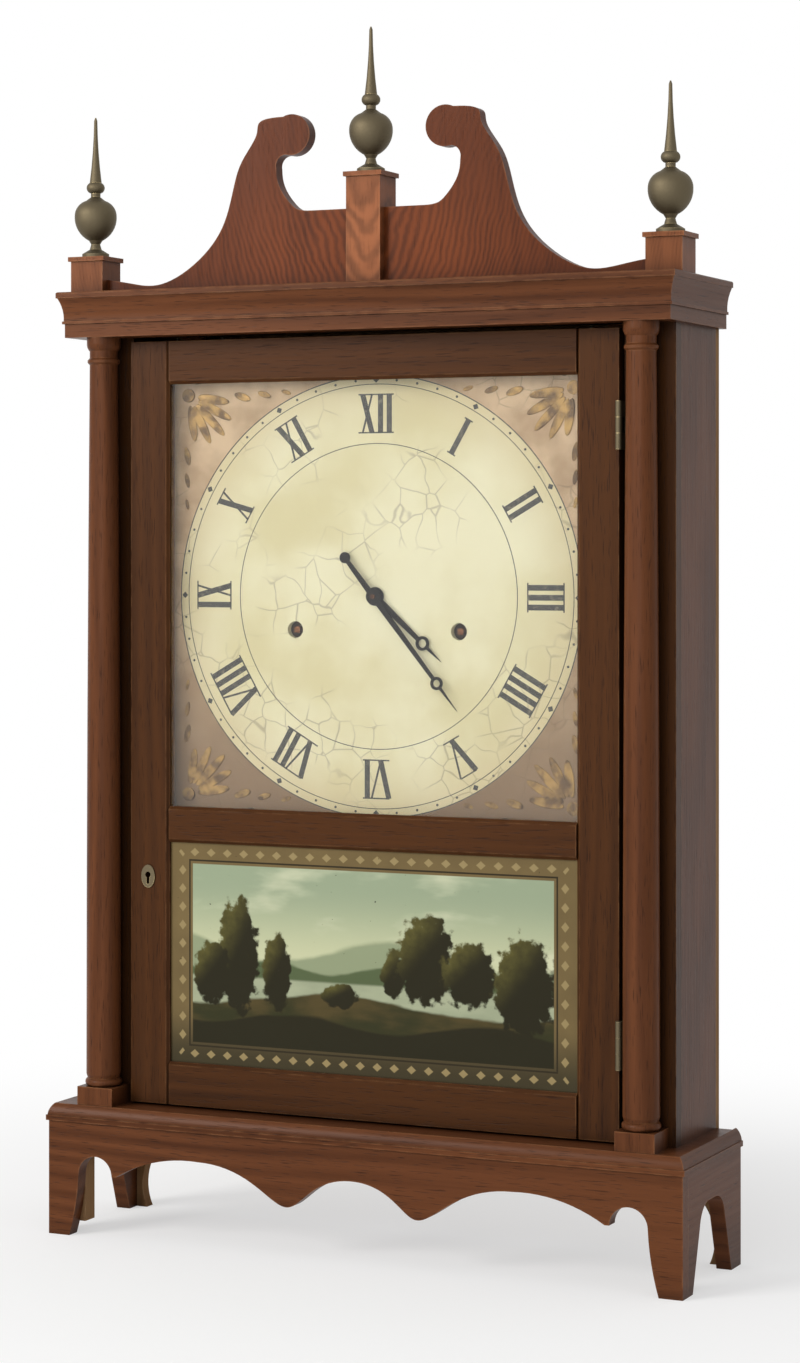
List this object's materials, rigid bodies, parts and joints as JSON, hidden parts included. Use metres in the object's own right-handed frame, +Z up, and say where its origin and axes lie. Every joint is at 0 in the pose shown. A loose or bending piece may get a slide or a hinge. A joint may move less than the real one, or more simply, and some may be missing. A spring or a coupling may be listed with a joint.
{
  "type": "pillar and scroll clock",
  "caption": "Mahogany shelf clock with scroll pediment, turned pillars, glazed door, painted dial, weights and a wooden movement inside.",
  "frame": {"origin": "on the floor under the middle of the clock", "axes": "+Z up, the front faces -Y, +X to the right seen from the front"},
  "size_m": [0.446, 0.11, 0.787],
  "materials": {
    "mahogany": "dark red-brown mahogany, old varnish",
    "mahogany_turned": "turned mahogany, dark varnish",
    "mahogany_figured": "figured mahogany, varnished",
    "pine": "unfinished pine, aged",
    "brass": "aged brass",
    "iron": "rough cast",
    "steel": "plain wire and sheet",
    "hand_steel": "dark painted",
    "glass": "clear window glass",
    "painted_glass": "painted on the back, opaque",
    "dial_paint": "painted wood, cream ground",
    "oak": "plain sawn oak",
    "cherry": "turned cherry",
    "cord": "braided linen"
  },
  "bodies": {
    "case": {"base_shelf": "mahogany", "base_moulding": "mahogany", "apron_front": "mahogany", "side_aprons": "mahogany", "foot_blocks": "pine", "case_sides": "mahogany", "backboard": "pine", "case_top": "pine", "front_stiles": "mahogany", "cornice": "mahogany", "pillar_left": "mahogany_turned", "pillar_right": "mahogany_turned", "scroll_board": "mahogany_figured", "plinths": "mahogany", "finials": "brass", "movement_rails": "pine", "dial_rail": "pine", "dial": "dial_paint", "case_pins": "brass", "front_plate": "oak", "back_plate": "oak", "hinge_case_leaves": "brass", "bell": "iron", "cord_runs": "cord", "cord_drop_time": "cord", "cord_drop_strike": "cord"},
    "door": {"door_stile_left": "mahogany_figured", "door_stile_right": "mahogany_figured", "door_rails": "mahogany_figured", "door_glass": "glass", "door_tablet": "painted_glass", "glazing_beads": "pine", "lock_case": "steel", "escutcheon": "brass", "hinge_door_leaves": "brass"},
    "lock_bolt": {"lock_bolt": "steel"},
    "minute_hand": {"minute_hand": "hand_steel", "cannon_pinion": "cherry"},
    "minute_wheel": {"minute_wheel": "cherry"},
    "hour_hand": {"hour_hand": "hand_steel", "hour_wheel": "cherry"},
    "escape_wheel": {"escape_wheel": "steel"},
    "third_wheel": {"third_wheel": "cherry"},
    "centre_wheel": {"centre_wheel": "cherry"},
    "time_second_wheel": {"time_second_wheel": "cherry"},
    "time_great_wheel": {"time_great_wheel": "cherry"},
    "pendulum": {"pendulum_rod": "steel", "pendulum_bob": "brass"},
    "verge": {"verge": "steel"},
    "weight_time": {"weight_time": "iron"},
    "time_drum": {"time_drum": "cherry"},
    "pulley_time": {"pulley_time": "cherry"},
    "weight_strike": {"weight_strike": "iron"},
    "strike_drum": {"strike_drum": "cherry"},
    "pulley_strike": {"pulley_strike": "cherry"},
    "fly": {"fly": "cherry"},
    "warning_wheel": {"warning_wheel": "cherry"},
    "pin_wheel": {"pin_wheel": "cherry"},
    "strike_great_wheel": {"strike_great_wheel": "cherry"},
    "hammer": {"hammer": "steel"}
  },
  "joints": [
    {"name": "door_swing", "type": "hinge", "parent": "case", "child": "door", "pos_m": [0.17275, -0.0334, 0.15], "axis": [0, 0, 1], "range_deg": [0, 95]},
    {"name": "lock_throw", "type": "slide", "parent": "door", "child": "lock_bolt", "axis": [-1, 0, 0], "range_m": [0, 0.006]},
    {"name": "minute_turn", "type": "hinge", "parent": "case", "child": "minute_hand", "pos_m": [0, -0.015, 0.4221], "axis": [0, 1, 0], "continuous": true},
    {"name": "minute_wheel_turn", "type": "hinge", "parent": "case", "child": "minute_wheel", "pos_m": [-0.01697, -0.006, 0.40513], "axis": [0, 1, 0], "continuous": true},
    {"name": "hour_turn", "type": "hinge", "parent": "case", "child": "hour_hand", "pos_m": [0, -0.009, 0.4221], "axis": [0, 1, 0], "continuous": true},
    {"name": "escape_turn", "type": "hinge", "parent": "case", "child": "escape_wheel", "pos_m": [0.01001, 0.009, 0.47211], "axis": [0, 1, 0], "continuous": true},
    {"name": "third_turn", "type": "hinge", "parent": "case", "child": "third_wheel", "pos_m": [0.0179, 0.018, 0.44692], "axis": [0, 1, 0], "continuous": true},
    {"name": "centre_turn", "type": "hinge", "parent": "case", "child": "centre_wheel", "pos_m": [0, 0.025, 0.4221], "axis": [0, 1, 0], "continuous": true},
    {"name": "second_turn", "type": "hinge", "parent": "case", "child": "time_second_wheel", "pos_m": [0.03096, 0.03, 0.41631], "axis": [0, 1, 0], "continuous": true},
    {"name": "time_great_turn", "type": "hinge", "parent": "case", "child": "time_great_wheel", "pos_m": [0.05799, 0.01, 0.40013], "axis": [0, 1, 0], "continuous": true},
    {"name": "pendulum_swing", "type": "hinge", "parent": "case", "child": "pendulum", "pos_m": [0.01001, -0.0036, 0.50811], "axis": [0, 1, 0], "range_deg": [-3.5, 3.5]},
    {"name": "verge_rock", "type": "hinge", "parent": "case", "child": "verge", "pos_m": [0.01001, 0.009, 0.50011], "axis": [0, 1, 0], "range_deg": [-4.2, 4.2]},
    {"name": "time_weight_rise", "type": "slide", "parent": "case", "child": "weight_time", "axis": [0, 0, 1], "range_m": [0, 0.33], "deforming": ["cord_drop_time"]},
    {"name": "time_drum_wind", "type": "hinge", "parent": "case", "child": "time_drum", "pos_m": [0.05799, 0.023, 0.40013], "axis": [0, 1, 0], "range_deg": [-1245, 0]},
    {"name": "time_pulley_turn", "type": "hinge", "parent": "case", "child": "pulley_time", "pos_m": [0.1531, 0.023, 0.606], "axis": [0, 1, 0], "range_deg": [-1412, 0]},
    {"name": "strike_weight_rise", "type": "slide", "parent": "case", "child": "weight_strike", "axis": [0, 0, 1], "range_m": [0, 0.33], "deforming": ["cord_drop_strike"]},
    {"name": "strike_drum_wind", "type": "hinge", "parent": "case", "child": "strike_drum", "pos_m": [-0.05799, 0.023, 0.40013], "axis": [0, 1, 0], "range_deg": [0, 1245]},
    {"name": "strike_pulley_turn", "type": "hinge", "parent": "case", "child": "pulley_strike", "pos_m": [-0.1531, 0.023, 0.606], "axis": [0, 1, 0], "range_deg": [0, 1412]},
    {"name": "fly_turn", "type": "hinge", "parent": "case", "child": "fly", "pos_m": [-0.03895, 0.023, 0.45414], "axis": [0, 1, 0], "continuous": true},
    {"name": "warning_turn", "type": "hinge", "parent": "case", "child": "warning_wheel", "pos_m": [-0.03279, 0.019, 0.43723], "axis": [0, 1, 0], "continuous": true},
    {"name": "pin_wheel_turn", "type": "hinge", "parent": "case", "child": "pin_wheel", "pos_m": [-0.03096, 0.03, 0.41631], "axis": [0, 1, 0], "continuous": true},
    {"name": "strike_great_turn", "type": "hinge", "parent": "case", "child": "strike_great_wheel", "pos_m": [-0.05799, 0.01, 0.40013], "axis": [0, 1, 0], "continuous": true},
    {"name": "hammer_swing", "type": "hinge", "parent": "case", "child": "hammer", "pos_m": [-0.038, 0.022, 0.5001], "axis": [0, 1, 0], "range_deg": [-15, 0]}
  ],
  "couplings": [
    {"joint": "minute_wheel_turn", "follows": "minute_turn", "ratio": -0.25},
    {"joint": "hour_turn", "follows": "minute_turn", "ratio": 0.083333},
    {"joint": "third_turn", "follows": "escape_turn", "ratio": -0.1},
    {"joint": "centre_turn", "follows": "escape_turn", "ratio": 0.0125},
    {"joint": "second_turn", "follows": "escape_turn", "ratio": -0.00625},
    {"joint": "time_great_turn", "follows": "escape_turn", "ratio": 0.0015625},
    {"joint": "verge_rock", "follows": "pendulum_swing", "ratio": 1.186},
    {"joint": "time_drum_wind", "follows": "time_weight_rise", "rad_per_m": -65.789},
    {"joint": "time_pulley_turn", "follows": "time_weight_rise", "rad_per_m": -74.627},
    {"joint": "strike_drum_wind", "follows": "strike_weight_rise", "rad_per_m": 65.789},
    {"joint": "strike_pulley_turn", "follows": "strike_weight_rise", "rad_per_m": 74.627},
    {"joint": "warning_turn", "follows": "fly_turn", "ratio": -0.14286},
    {"joint": "pin_wheel_turn", "follows": "fly_turn", "ratio": 0.02381},
    {"joint": "strike_great_turn", "follows": "fly_turn", "ratio": -0.0059524}
  ]
}
